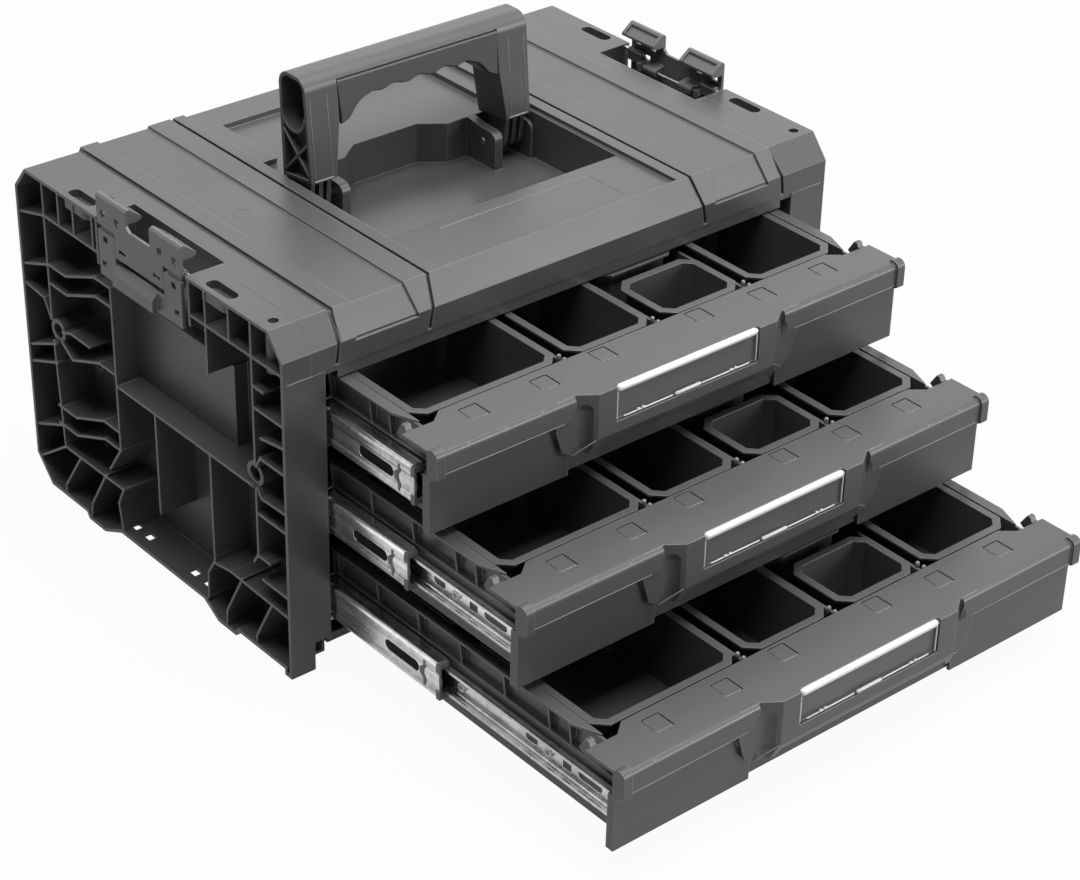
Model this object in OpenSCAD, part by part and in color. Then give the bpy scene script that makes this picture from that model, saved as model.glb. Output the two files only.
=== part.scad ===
// Tool box: a moulded plastic case with three drawers on ball slides.
// X runs to the right seen from the front, Y to the back, Z up.
// The origin lies on the floor, under the middle of the box with its drawers open.
// The drawers stand open by different amounts, as stored.

/* [Case] */
// width over both end frames
case_width = 450; // [446:1:454]
// depth from the front face to the rear face
case_depth = 300.8; // [299.8:0.2:304]
// height from the feet to the top of the end frames
case_height = 245.3; // [245:0.1:248]
// thickness of the moulded outer walls
wall = 2.2; // [1.9:0.1:2.4]
// thickness of the stiffening ribs
rib_wall = 1.6; // [1.2:0.1:2]
// depth of the ribbed recess in each end face
side_recess = 29; // [28:0.5:30]
// thickness of the wall behind the ribs
web_wall = 2; // [1.8:0.1:2.2]
// run of the sloped top edge along the depth
chamfer_run = 13.8; // [12:0.2:15]
// drop of the sloped top edge
chamfer_drop = 16.5; // [15:0.5:18]
// height of the four feet under the end frames
foot_height = 4.5; // [4:0.25:5]
// height of the clear arch between the feet
arch_height = 9.5; // [8:0.5:11]
// width of the front leg that reaches the floor
front_leg_width = 18.5; // [16:0.5:21]

/* [Top cover] */
// width of the end frame's top beside the cover
frame_top_width = 20.9; // [20:0.1:22]
// gap round the cover
cover_gap = 0.3; // [0.2:0.05:0.4]
// depth of the cover's upright edge below its sloped edge
cover_band = 15.3; // [14.5:0.1:16]
// height of the cover's raised strips above the end frames
cover_rise = 1.7; // [1.2:0.1:2]
// thickness of the cover
cover_wall = 4.6; // [4.4:0.1:5]
// half width of the raised middle panel
middle_half = 107.2; // [105:0.2:109]
// width of the deep grooves
groove_width = 2.6; // [2:0.1:3]
// depth of the deep grooves
groove_depth = 2.6; // [2:0.1:3]
// inner edge of the sunk side panels
side_panel_in = 127; // [125:0.5:129]
// outer edge of the sunk side panels
side_panel_out = 167; // [165:0.5:169]
// middle of the outer grooves
outer_groove = 181; // [179:0.5:183]
// depth of the sunk side panels
side_panel_sink = 1.4; // [1:0.1:1.7]
// half width of the lower deck in the middle
deck_half = 99; // [98:0.2:100]
// drop of the lower deck
deck_drop = 3; // [2.5:0.1:3.4]
// drop of the finger space behind the handle, below the top
rear_sink = 7.2; // [6.8:0.1:7.5]

/* [Handle recess] */
// half width of the recess
recess_half = 96; // [95.5:0.1:96.5]
// front edge of the recess from the middle of the case
recess_front = 82; // [80:0.5:84]
// rear wall of the recess beside its bay
recess_rear = 32.5; // [32:0.25:34]
// depth of the bay behind the recess
bay_depth = 12.5; // [10:0.5:14]
// half width of the bay
bay_half = 26.5; // [24:0.5:28]
// depth of the recess below the cover's top
recess_depth = 36.5; // [36:0.1:36.8]
// height of the handle pin below the cover's top
pin_drop = 19; // [18.5:0.1:19.2]
// distance of the handle pin behind the middle of the case
pin_back = 16; // [15.5:0.25:16.5]
// diameter of the handle pins
pin_diameter = 5; // [4:0.25:5.5]
// running gap of the turning parts, on the radius
turn_gap = 0.06; // [0.03:0.01:0.1]

/* [Handle] */
// half width over both legs
handle_half = 91.5; // [91:0.1:92]
// width of each leg
leg_width = 19.8; // [19:0.1:20.5]
// height of the handle's top above its pin
handle_reach = 88.3; // [85:0.1:89]
// depth of the grip, front to back
grip_depth = 28.8; // [27:0.2:29.2]
// thickness of the handle's skin
handle_wall = 2.6; // [2.2:0.1:3]
// height of the handle's lower edge above its pin
leg_lift = 14.8; // [14:0.1:16]

/* [Drawers] */
// height of the lowest drawer's lower edge
first_level = 19.5; // [19.2:0.1:20]
// distance from drawer to drawer
level_pitch = 64.05; // [63.9:0.05:64.2]
// height of a drawer front
front_height = 57.3; // [57:0.1:57.5]
// gap between a drawer front and the case
front_gap = 0.5; // [0.4:0.1:0.8]
// how far the top drawer stands open
top_open = 99.4; // [90:0.2:110]
// how far the middle drawer stands open
middle_open = 181.3; // [170:0.1:190]
// how far the bottom drawer stands open
bottom_open = 268.5; // [260:0.5:270]
// full travel of a drawer
drawer_travel = 275; // [272:1:276]
// height of the plain wings below the lip
wing_height = 38; // [37:0.5:39]
// how far the lip stands in front of the wings
lip_reach = 6; // [5:0.25:6.5]
// depth of the flat top of a drawer front
shelf_depth = 33.4; // [32:0.2:34]
// inner edge of the wings
wing_in = 86.6; // [85:0.2:88]
// half width of the label bay
bay_face_half = 73.5; // [72:0.5:74.5]
// how far the label bay stands in front of the wings
bay_reach = 11.6; // [11:0.2:12]
// half width of the label window
label_half = 58; // [55:0.5:60]
// height of the label window
label_height = 21; // [20:0.5:22]
// thickness of the label window
label_wall = 1.4; // [1.2:0.1:1.6]
// diameter of the window's hinge bar
label_bar = 4.6; // [4.2:0.1:4.8]
// length of a tray behind the drawer front
tray_length = 281; // [278:0.5:284]
// thickness of the tray's walls
tray_wall = 1.8; // [1.6:0.1:2]
// height of the tray's underside above the drawer's lower edge
tray_rise = 2; // [1.6:0.1:2.4]
// height of the ledge along the tray
ledge_height = 38.5; // [37.5:0.25:39]
// level of the bin rims
rim_level = 56.5; // [56:0.1:56.8]
// spacing of the ribs along the tray
tray_rib_pitch = 41; // [38:0.5:42]

/* [Bins] */
// width of a bin's rim
rim_width = 5.2; // [4.8:0.1:5.6]
// thickness of a bin's walls
bin_wall = 1.5; // [1.3:0.1:1.7]
// cut corner of a bin
bin_corner = 8.5; // [7:0.25:9]
// front of the bins behind the drawer's wings
bin_front = 35.4; // [35:0.2:36]
// gap between bins in a column
bin_row_gap = 9.6; // [9:0.2:10]
// length of the short bin at the front
short_bin = 53; // [51:0.5:55]

/* [Slides] */
// length of the slides
slide_length = 285; // [284:0.5:286]
// thickness of a slide
slide_wide = 12.7; // [12.6:0.05:12.8]
// height of the cabinet rail
slide_height = 35; // [34.8:0.1:35.2]
// thickness of the slide's sheet
sheet = 1.2; // [1.1:0.02:1.24]
// diameter of the outer balls
outer_ball = 3.2; // [3.1:0.02:3.24]
// diameter of the inner balls
inner_ball = 2.45; // [2.4:0.01:2.48]
// clearance of the balls in their races
race_gap = 0.05; // [0.02:0.01:0.08]
// centre of the slides above a drawer's lower edge
slide_level = 24.5; // [24:0.1:25]
// share of the travel that the top middle rail makes
top_share = 0.9; // [0.88:0.01:0.91]
// share of the travel that the middle drawer's middle rail makes
middle_share = 0.455; // [0.42:0.005:0.5]
// share of the travel that the bottom middle rail makes
bottom_share = 0.4225; // [0.4:0.0025:0.46]

/* [Latches] */
// half length of a latch
latch_half = 46.5; // [45.5:0.5:47]
// half length of the pocket the latch turns in
pocket_half = 50.5; // [50:0.5:52]
// height of the hooks above the case's top
hook_rise = 18.7; // [17:0.1:20]
// thickness of the hook plate
hook_wall = 2; // [1.8:0.1:2.2]
// diameter of the latch pins
latch_pin = 3; // [2.6:0.1:3.2]
// depth of the latch lever below the case's top
lever_drop = 38.3; // [36:0.1:39]

/* [Hidden] */
half_w = case_width / 2;
half_d = case_depth / 2;
// the origin lies under the middle of the box with its drawers open
case_y = (bottom_open + bay_reach) / 2;
web_out = half_w - side_recess;
web_in = web_out - web_wall;
seam = half_w - frame_top_width;
cover_half = seam - cover_gap;
seat_z = case_height - chamfer_drop - cover_band - cover_gap;
band_z = seat_z + cover_gap;
cover_top = case_height + cover_rise;
deck_z = cover_top - deck_drop;
recess_floor = cover_top - recess_depth;
pin_z = cover_top - pin_drop;
tray_half = web_in - slide_wide;
tray_floor = tray_rise + tray_wall;
front_half = web_in - front_gap;
top_level = first_level + 2 * level_pitch;
opening_top = top_level + front_height + 0.5;
levels = [top_level, first_level + level_pitch, first_level];
opened = [top_open, middle_open, bottom_open];
shares = [top_share, middle_share, bottom_share];
rail_front = 7;
rail_home = rail_front - half_d;
outer_race = slide_height / 2 - sheet;
middle_flange = outer_race - outer_ball - 2 * race_gap;
inner_race = middle_flange - sheet;
drawer_flange = inner_race - inner_ball - 2 * race_gap;
ball_depth = 8;
// outer radius of the rails' rolled corners
roll = 3;
middle_at = 2;
// sunk band along the middle rail's web
band_sink = 0.6;
band_half = 6.8;
drawer_rail_depth = 6.2;
outer_cage_length = 36;
inner_cage_length = 60;
drawer_rail_length = slide_length - 5;
rail_screw_y = [69, 150, 255];
cabinet_screw_y = [-99, 96];
boss_y = 113.5;
boss_z = 134;
boss_r = 8.5;
boss_bore = 5.5;
boss_floor = 2;
plastic = [0.23, 0.235, 0.24];
dark = [0.14, 0.14, 0.145];
steel = [0.75, 0.76, 0.78];
clear = [0.85, 0.88, 0.9, 0.4];
$fn = 48;

function unit(v) = v / norm(v);
function turn(v) = [-v[1], v[0]];
// copy of a closed anticlockwise outline, moved inward by d with mitred corners
function inset(p, d) = [
    for (i = [0 : len(p) - 1])
        let (
            b = p[i],
            m = turn(unit(b - p[(i + len(p) - 1) % len(p)])),
            n = turn(unit(p[(i + 1) % len(p)] - b))
        )
        b + d * (m + n) / (1 + m * n)
];
// rectangle with its four corners cut off
function cut_box(x0, x1, y0, y1, c) = [
    [x0 + c, y0], [x1 - c, y0], [x1, y0 + c], [x1, y1 - c],
    [x1 - c, y1], [x0 + c, y1], [x0, y1 - c], [x0, y0 + c]
];

// outline in Y and Z drawn out along X
module along_x(x0, x1) {
    translate([x0, 0, 0])
        rotate([90, 0, 90])
            linear_extrude(x1 - x0)
                children();
}
// outline in X and Z drawn out along Y
module along_y(y0, y1) {
    translate([0, y1, 0])
        rotate([90, 0, 0])
            linear_extrude(y1 - y0)
                children();
}
module along_z(z0, z1) {
    translate([0, 0, z0])
        linear_extrude(z1 - z0)
            children();
}
module box(x0, x1, y0, y1, z0, z1) {
    translate([x0, y0, z0])
        cube([x1 - x0, y1 - y0, z1 - z0]);
}
// straight rib between two points of an outline
module strut(a, b, t) {
    u = unit(b - a) * t / 2;
    n = turn(u);
    polygon([a - u - n, b + u - n, b + u + n, a - u + n]);
}
module path(points, t) {
    for (i = [0 : len(points) - 2]) {
        strut(points[i], points[i + 1], t);
    }
}
module slot_2d(length, width) {
    square([length - width, width], center = true);
    for (s = [-1, 1]) {
        translate([s * (length - width) / 2, 0])
            circle(d = width);
    }
}
module both_sides() {
    children();
    mirror([1, 0, 0])
        children();
}
// puts the middle of the case behind the origin
module in_place() {
    translate([0, case_y, 0])
        children();
}
module at_drawer(k) {
    in_place()
        translate([0, -half_d - opened[k], levels[k]])
            children();
}

// end frames
frame_outline = [
    [-half_d, 0], [-half_d + 7.4, 0], [-half_d + 7.4, foot_height], [-92, foot_height],
    [-89, 0], [-69, 0], [-53, arch_height], [45, arch_height], [66, 0], [86, 0],
    [89, foot_height], [133, foot_height], [half_d, 23],
    [half_d, case_height - chamfer_drop], [half_d - chamfer_run, case_height],
    [-half_d + chamfer_run, case_height], [-half_d, case_height - chamfer_drop]
];
frame_hollow = inset(frame_outline, wall);
top_rib_z = case_height - 26.3;
column_y = 117;
inner_y = 40;

module below_seat() {
    intersection() {
        children();
        translate([-half_d - 1, -1])
            square([case_depth + 2, seat_z + 1]);
    }
}
module frame_ribs_2d() {
    t = rib_wall;
    back = half_d - 1;
    // rib under the open cells of the top edge
    path([[-half_d + 1, top_rib_z], [-pocket_half - 1, top_rib_z]], t);
    path([[pocket_half + 1, top_rib_z], [column_y, top_rib_z]], t);
    for (y = [-column_y, -94, -69, 57, 80, 98, column_y]) {
        path([[y, top_rib_z], [y, case_height - 1]], t);
    }
    // columns
    path([[-column_y, top_rib_z], [-column_y, boss_z]], t);
    path([[-column_y, boss_z], [-column_y, 77], [-97, 47]], t);
    path([[column_y, top_rib_z], [column_y, boss_z], [column_y - 5, 45]], t);
    path([[-69, top_rib_z], [-69, 186]], t);
    path([[inner_y, 198], [inner_y, 77], [60, 48]], t);
    // rungs of the rear edge
    path([[column_y, top_rib_z], [back, 210]], t);
    path([[column_y, 183], [back, 171]], t);
    path([[back, 157], [column_y + 8, 155], [boss_y, boss_z]], t);
    path([[back, 133], [boss_y, boss_z]], t);
    path([[column_y - 3, 124.5], [back, 109]], t);
    path([[column_y - 3, 110], [back, 96]], t);
    path([[column_y - 5, 62], [back, 46]], t);
    path([[column_y - 5, 45], [147, 21]], t);
    // bent ribs between the rear column and the inner column
    for (z = [183.5, 169.5, 76, 62]) {
        path([[column_y, z], [95, z], [59, z + 14.5], [inner_y, z + 14.5]], t);
    }
    path([[boss_y, boss_z], [94, 141], [71, 141]], t);
    path([[boss_y, boss_z], [94, 121], [60, 134], [inner_y, 134]], t);
    // long rib across the panel's foot
    path([[inner_y, 126], [-boss_y, 126]], t);
    // rungs of the front edge
    path([[-column_y, 199], [-128, 199]], t);
    path([[-column_y, 184], [-half_d + 1, 184]], t);
    path([[-column_y - 7, 165], [-half_d + 1, 169]], t);
    path([[-boss_y, boss_z], [-boss_y - 9, 150], [-half_d + 1, 150]], t);
    path([[-boss_y, boss_z], [-boss_y - 9, 121], [-half_d + 1, 122]], t);
    path([[-column_y, 108], [-half_d + 1, 108]], t);
    path([[-column_y, 76], [-129, 76]], t);
    path([[-column_y - 4, 60], [-half_d + 1, 60]], t);
    // cells over the feet
    path([[column_y - 5, 45], [inner_y, 46]], t);
    path([[93, 45], [115, 13], [115, 3]], t);
    path([[62, 46], [82, 14], [84, 2]], t);
    path([[inner_y, 46], [47, 32], [43, 9]], t);
    path([[-half_d + 1, 45], [-85, 47], [-66, 44], [-59, 33], [-58, 14], [-55, 8]], t);
    path([[-97, 47], [-79, 14], [-78, 2]], t);
    path([[-129, 44], [-112, 13], [-111, 4]], t);
    // upright ribs on the lower wall
    path([[-5, 126], [-5, 42]], t);
    path([[-67, 126], [-67, 46]], t);
}
module frame_shell() {
    along_x(-half_w, -seam)
        difference() {
            polygon(frame_outline);
            polygon(frame_hollow);
        }
    along_x(-half_w, -web_in)
        below_seat()
            difference() {
                polygon(frame_outline);
                polygon(frame_hollow);
            }
    along_x(-web_out, -web_in)
        below_seat()
            polygon(frame_outline);
    along_x(-seam - wall, -seam)
        difference() {
            polygon(frame_outline);
            translate([-half_d - 1, -1])
                square([case_depth + 2, seat_z - wall + 1]);
        }
    box(-seam - wall, -web_in, -half_d + 0.5, half_d - 0.5, seat_z - wall, seat_z);
    // raised panel
    box(-web_out - 10, -web_in, -71, 71, 109, 185);
    // pillars for the slide screws
    for (k = [0 : 2]) {
        for (y = cabinet_screw_y) {
            translate([-web_out - 7, y, levels[k] + slide_level])
                rotate([0, 90, 0])
                    cylinder(d = 8, h = 8);
        }
    }
    // wall round the latch pocket
    box(-half_w + 0.6, -web_in, -pocket_half - wall, -pocket_half, seat_z - wall, case_height);
    box(-half_w + 0.6, -web_in, pocket_half, pocket_half + wall, seat_z - wall, case_height);
    box(-web_out, -web_in, -pocket_half - 1, pocket_half + 1, seat_z - wall, case_height);
    // cups of the stacking slots
    for (s = [-1, 1]) {
        translate([-half_w + 8.2, s * 78, case_height - 9])
            rotate([0, 0, 90])
                linear_extrude(8)
                    slot_2d(33, 14);
    }
    // pillar of the cover screw
    translate([-half_w + 10.2, -half_d + 22.4, seat_z - wall])
        cylinder(d = 10, h = case_height - seat_z + wall - 1);
}
module frame_cuts() {
    // hollow of the raised panel, seen from inside
    box(-web_out - 8, -web_in + 1, -69, 69, 111, 183);
    for (s = [-1, 1]) {
        // stacking slots
        translate([-half_w + 8.2, s * 78, case_height - 6])
            rotate([0, 0, 90])
                linear_extrude(7)
                    slot_2d(28, 9);
        translate([-half_w + 8.2, s * 78, case_height - 10])
            rotate([0, 0, 90])
                linear_extrude(7)
                    slot_2d(18, 4);
        // drain slots in the arch
        for (y = [s * 35 - 8, s * 35 + 8]) {
            box(-half_w + 8, -half_w + 14, y - 4, y + 4, -1, arch_height + wall + 1);
        }
    }
    for (k = [0 : 2]) {
        for (y = cabinet_screw_y) {
            translate([-web_out - 8, y, levels[k] + slide_level])
                rotate([0, 90, 0])
                    cylinder(d = 3, h = 12);
        }
    }
    // latch pocket
    box(-half_w - 1, -web_out, -pocket_half, pocket_half, seat_z, case_height + 1);
    box(-half_w - 1, -seam - wall, -pocket_half, pocket_half, top_rib_z - 14, seat_z + 1);
    for (s = [-1, 1]) {
        translate([-half_w + 4, s * (pocket_half - 1), case_height - 2.3])
            rotate([-s * 90, 0, 0])
                cylinder(d = latch_pin, h = wall + 2);
    }
    // cover screw
    translate([-half_w + 10.2, -half_d + 22.4, case_height - 7])
        cylinder(d = 7, h = 8);
    translate([-half_w + 10.2, -half_d + 22.4, seat_z - 3])
        cylinder(d = 3.4, h = case_height - seat_z);
    // foot of the front leg
    box(-half_w + front_leg_width, -web_in + 1, -half_d - 1, -half_d + 7.6, -1, 20.5);
    // scribed line that carries on the cover's lower edge
    box(-half_w + 3, -seam + 1, -half_d - 1, -half_d + 0.4, seat_z - 0.2, seat_z + 0.4);
}
module frame_body() {
    difference() {
        union()
            frame_shell();
        frame_cuts();
    }
}
// fields of the end face, a hair apart, each holding its own run of ribs
rib_fields = [
    [-half_d, -112, 136, seat_z - 0.1], [-half_d, -112, 49, 132],
    [112, half_d, 49, 132], [112, half_d, 136, seat_z - 0.1], [38, 111.7, 55, seat_z - 0.1],
    [-72, -64, 127, seat_z - 0.1], [-72, -62, 50, 125], [-10, 0, 50, 125], [-111.8, 37.8, 125.1, 126.9],
    [-111.8, -50, 0, 49.8], [-half_d, -112, 0, 48.8], [38, half_d, 0, 48.8]
];
top_fields = [
    [-half_d, -pocket_half, seat_z + 0.1, case_height], [pocket_half, half_d, seat_z + 0.1, case_height]
];
module ribs_in(fields) {
    intersection() {
        frame_ribs_2d();
        polygon(frame_hollow);
        for (f = fields) {
            translate([f[0], f[2]])
                square([f[1] - f[0], f[3] - f[2]]);
        }
    }
}
module boss_rods(r, x0, x1) {
    for (s = [-1, 1]) {
        translate([x0, s * boss_y, boss_z])
            rotate([0, 90, 0])
                cylinder(r = r, h = x1 - x0);
    }
}
module frame_bosses() {
    difference() {
        boss_rods(boss_r, -half_w + 3, -web_out);
        boss_rods(boss_bore, -half_w - 1, -web_out - boss_floor);
    }
}
module frame_ribs() {
    difference() {
        union() {
            along_x(-half_w + 0.6, -web_out)
                ribs_in(rib_fields);
            along_x(-half_w + 0.6, -seam - wall)
                ribs_in(top_fields);
        }
        frame_shell();
        frame_cuts();
        boss_rods(boss_r, -half_w - 1, -web_in);
    }
}
module left_end_frame() {
    in_place()
        color(plastic)
            frame_body();
}
module left_end_ribs() {
    in_place()
        color(plastic)
            frame_ribs();
}
module left_end_bosses() {
    in_place()
        color(plastic)
            frame_bosses();
}
module right_end_frame() {
    in_place()
        color(plastic)
            mirror([1, 0, 0])
                frame_body();
}
module right_end_ribs() {
    in_place()
        color(plastic)
            mirror([1, 0, 0])
                frame_ribs();
}
module right_end_bosses() {
    in_place()
        color(plastic)
            mirror([1, 0, 0])
                frame_bosses();
}

// top cover
cover_outline = [
    [-half_d, band_z], [half_d, band_z], [half_d, case_height - chamfer_drop],
    [half_d - 11, cover_top], [-half_d + 11, cover_top], [-half_d, case_height - chamfer_drop]
];
band_outline = [
    [-half_d, band_z], [half_d, band_z], [half_d, case_height - chamfer_drop],
    [half_d - chamfer_run, case_height], [-half_d + chamfer_run, case_height],
    [-half_d, case_height - chamfer_drop]
];
cover_hollow = [
    [-half_d + 3, band_z - 1], [half_d - 3, band_z - 1], [half_d - 3, case_height - chamfer_drop - 1],
    [half_d - 15, cover_top - cover_wall - 3], [-half_d + 15, cover_top - cover_wall - 3],
    [-half_d + 3, case_height - chamfer_drop - 1]
];
recess_plan = [
    [-recess_half, -recess_front], [recess_half, -recess_front], [recess_half, recess_rear],
    [bay_half + 17, recess_rear], [bay_half, recess_rear + bay_depth],
    [-bay_half, recess_rear + bay_depth], [-bay_half - 17, recess_rear], [-recess_half, recess_rear]
];
// layer of the cover's skin, d deep
module cover_skin(x0, x1, d) {
    along_x(x0, x1)
        difference() {
            translate([-half_d - 5, band_z - 5])
                square([case_depth + 10, 60]);
            polygon(inset(cover_outline, d));
        }
}
// slice through the cover that leans outward down the front
module leaning_slice(x_top, x_low, w) {
    box(x_top, x_top + w, -half_d + 10.5, half_d + 1, band_z - 2, cover_top + 2);
    along_y(-half_d - 2, -half_d + 10.6)
        polygon([
            [x_top, cover_top + 2], [x_top, cover_top], [x_low, band_z + 1.5],
            [x_low + w, band_z + 1.5], [x_top + w, cover_top], [x_top + w, cover_top + 2]
        ]);
}
module top_cover() {
    in_place() {
        color(plastic)
            difference() {
                union() {
                    difference() {
                        union() {
                            along_x(-cover_half, cover_half)
                                polygon(band_outline);
                            along_x(-outer_groove, outer_groove)
                                polygon(cover_outline);
                        }
                        along_x(-cover_half + 2.4, cover_half - 2.4)
                            polygon(cover_hollow);
                    }
                    // tub of the handle recess
                    along_z(recess_floor - wall, cover_top - cover_wall)
                        polygon(inset(recess_plan, -wall));
                }
                // latch pockets
                both_sides()
                    box(web_in - cover_gap, cover_half + 1, -pocket_half - wall - cover_gap,
                        pocket_half + wall + cover_gap, band_z - 1, cover_top + 1);
                // deck and finger space
                box(-deck_half, deck_half, -half_d + 12.5, half_d + 1, deck_z, cover_top + 1);
                box(-84, 84, 50, 116, cover_top - rear_sink, cover_top + 1);
                box(-recess_half, recess_half, recess_rear - 1, 52, cover_top - rear_sink, cover_top + 1);
                along_z(recess_floor, cover_top + 1)
                    polygon(recess_plan);
                // grooves and sunk panels, the same on both sides
                both_sides() {
                    intersection() {
                        cover_skin(middle_half, middle_half + 12, groove_depth);
                        leaning_slice(middle_half, middle_half + 6.5, groove_width);
                    }
                    intersection() {
                        cover_skin(outer_groove - 2, outer_groove + 12, groove_depth);
                        leaning_slice(outer_groove - 1, outer_groove + 3, groove_width);
                    }
                    intersection() {
                        cover_skin(side_panel_in - 5, side_panel_out + 6, side_panel_sink);
                        union() {
                            box(side_panel_in, side_panel_out, -half_d + 10.5, half_d + 1, band_z,
                                cover_top + 2);
                            along_y(-half_d - 2, -half_d + 10.6)
                                polygon([
                                    [side_panel_in, cover_top + 2], [side_panel_in, cover_top],
                                    [side_panel_in - 4, band_z + 13], [side_panel_out + 4, band_z + 13],
                                    [side_panel_out, cover_top], [side_panel_out, cover_top + 2]
                                ]);
                        }
                    }
                }
                // engraved frame on the front deck
                along_z(deck_z - 0.4, deck_z + 1)
                    path([[-61.5, -93], [61.5, -93], [61.5, -127]], 0.9);
            }
        // ears that carry the handle
        color(plastic)
            both_sides() {
                handle_ear(61, 67.5);
                handle_ear(92.6, 95);
            }
    }
}
module handle_ear(x0, x1) {
    difference() {
        along_x(x0, x1)
            union() {
                polygon([
                    [2, recess_floor - 0.5], [recess_rear + 0.5, recess_floor - 0.5],
                    [recess_rear + 0.5, cover_top - rear_sink], [17, cover_top - 9], [8, cover_top - 9.5]
                ]);
                translate([8, cover_top - 15.5])
                    circle(r = 6);
                translate([2, recess_floor - 0.5])
                    square([8, cover_top - 15.5 - recess_floor + 0.5]);
            }
        translate([x0 - 1, pin_back, pin_z])
            rotate([0, 90, 0])
                cylinder(d = pin_diameter, h = x1 - x0 + 2);
    }
}
module handle_pins() {
    in_place()
        color(steel)
            both_sides()
                translate([60.6, pin_back, pin_z])
                    rotate([0, 90, 0])
                        cylinder(d = pin_diameter, h = 34.9);
}
module cover_screws() {
    in_place()
        color(steel)
            both_sides()
                translate([-half_w + 10.2, -half_d + 22.4, 0])
                    difference() {
                        union() {
                            translate([0, 0, seat_z - 2])
                                cylinder(d = 3.4, h = case_height - 7 - seat_z + 2);
                            translate([0, 0, case_height - 7])
                                cylinder(d = 6.6, h = 2.6);
                        }
                        translate([0, 0, case_height - 5.6])
                            cylinder(d = 3.4, h = 2, $fn = 6);
                    }
}
module back_panel() {
    in_place()
        color(plastic) {
            box(-web_in, web_in, half_d - 5, half_d - wall, arch_height + 3, seat_z - wall);
            for (x = [-150 : 50 : 150]) {
                box(x - rib_wall / 2, x + rib_wall / 2, half_d - 7.5, half_d - 4.5, 20, seat_z - 6);
            }
        }
}
module base_panel() {
    in_place()
        color(plastic)
            difference() {
                union() {
                    box(-web_in, web_in, -half_d + 4.6, half_d - 5, arch_height + 3, arch_height + 5.2);
                    box(-web_in, web_in, -half_d + 4.6, -half_d + 7, arch_height + 3, first_level - 1);
                    for (x = [-150 : 75 : 150]) {
                        box(x - rib_wall / 2, x + rib_wall / 2, -half_d + 5, half_d - 5.4, 7,
                            arch_height + 4);
                    }
                    for (y = [-100 : 50 : 100]) {
                        box(-web_in, web_in, y - rib_wall / 2, y + rib_wall / 2, 7, arch_height + 4);
                    }
                }
                both_sides()
                    box(web_in - 14, web_in + 1, -half_d + 4, half_d - 4, 6, arch_height + 2.9);
            }
}
module cross_rail() {
    in_place()
        color(plastic)
            difference() {
                union() {
                    box(-web_in, web_in, -half_d + 0.6, -half_d + 2.8, opening_top, band_z);
                    box(-web_in, web_in, -half_d + 0.6, -half_d + 12, seat_z - wall, seat_z);
                }
                // notches for the tabs behind the drawer front
                both_sides()
                    box(web_in - 10, web_in + 1, -half_d - 1, -half_d + 13, opening_top - 1,
                        opening_top + 5.2);
            }
}

// handle
leg_outline = [
    [pin_back - 13.5, pin_z + leg_lift + 2.6], [pin_back + 18, pin_z + leg_lift - 1.8],
    [pin_back - 8.2 + grip_depth, pin_z + handle_reach - 10],
    [pin_back - 18.2 + grip_depth, pin_z + handle_reach],
    [pin_back + 1.8, pin_z + handle_reach], [pin_back - 8.2, pin_z + handle_reach - 10]
];
grip_low = pin_z + 55;
leg_in = handle_half - leg_width;
module leg_2d(d) {
    polygon(inset(leg_outline, d));
    for (y = [pin_back + 1.8, pin_back - 18.2 + grip_depth]) {
        translate([y, pin_z + handle_reach - 10])
            circle(r = 10 - d);
    }
}
module handle_opening_2d(gap) {
    polygon([
        [-leg_in - 0.6 + gap, pin_z - 20], [leg_in + 0.6 - gap, pin_z - 20],
        [leg_in + 0.6 - gap, pin_z + leg_lift - 3], [leg_in - 5.3 - gap, grip_low],
        [leg_in - 5.3 - gap, pin_z + handle_reach - 5.1 - gap],
        [-leg_in + 5.3 + gap, pin_z + handle_reach - 5.1 - gap], [-leg_in + 5.3 + gap, grip_low],
        [-leg_in - 0.6 + gap, pin_z + leg_lift - 3]
    ]);
}
module handle_frame() {
    bore_y = pin_back - 8.2 + grip_depth / 2;
    bore_r = grip_depth / 2 - handle_wall - 0.2;
    in_place()
        color(plastic) {
            difference() {
                along_x(-handle_half, handle_half)
                    leg_2d(0);
                along_y(-20, 60)
                    handle_opening_2d(0);
                both_sides() {
                    // open end of the grip
                    along_x(leg_in - 2, handle_half + 1)
                        union() {
                            intersection() {
                                leg_2d(handle_wall);
                                translate([-20, grip_low + 6])
                                    square(100);
                            }
                            translate([bore_y, grip_low + 6])
                                circle(r = bore_r);
                        }
                    // braced pocket below it
                    along_x(handle_half - 7, handle_half + 1)
                        difference() {
                            intersection() {
                                leg_2d(handle_wall);
                                translate([-20, pin_z])
                                    square([100, 60]);
                            }
                            translate([bore_y, grip_low + 6])
                                circle(r = bore_r + 1.8);
                            translate([-20, grip_low + 6])
                                square(100);
                            strut([pin_back - 12, pin_z + 20], [pin_back + 17, pin_z + 47], rib_wall);
                            strut([pin_back + 17, pin_z + 17], [pin_back - 11, pin_z + 46], rib_wall);
                        }
                }
            }
            // lugs that turn on the pins
            both_sides()
                for (x = [leg_in + 1.9, leg_in + 8.4, leg_in + 14.9]) {
                    difference() {
                        along_x(x, x + 3)
                            union() {
                                translate([pin_back, pin_z])
                                    circle(r = 8.5);
                                polygon([
                                    [pin_back - 8.5, pin_z], [pin_back + 8.5, pin_z],
                                    [pin_back + 10, pin_z + leg_lift + 1],
                                    [pin_back - 10, pin_z + leg_lift + 4]
                                ]);
                            }
                        translate([x - 1, pin_back, pin_z])
                            rotate([0, 90, 0])
                                cylinder(r = pin_diameter / 2 + turn_gap, h = 5);
                    }
                }
        }
}
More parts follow.
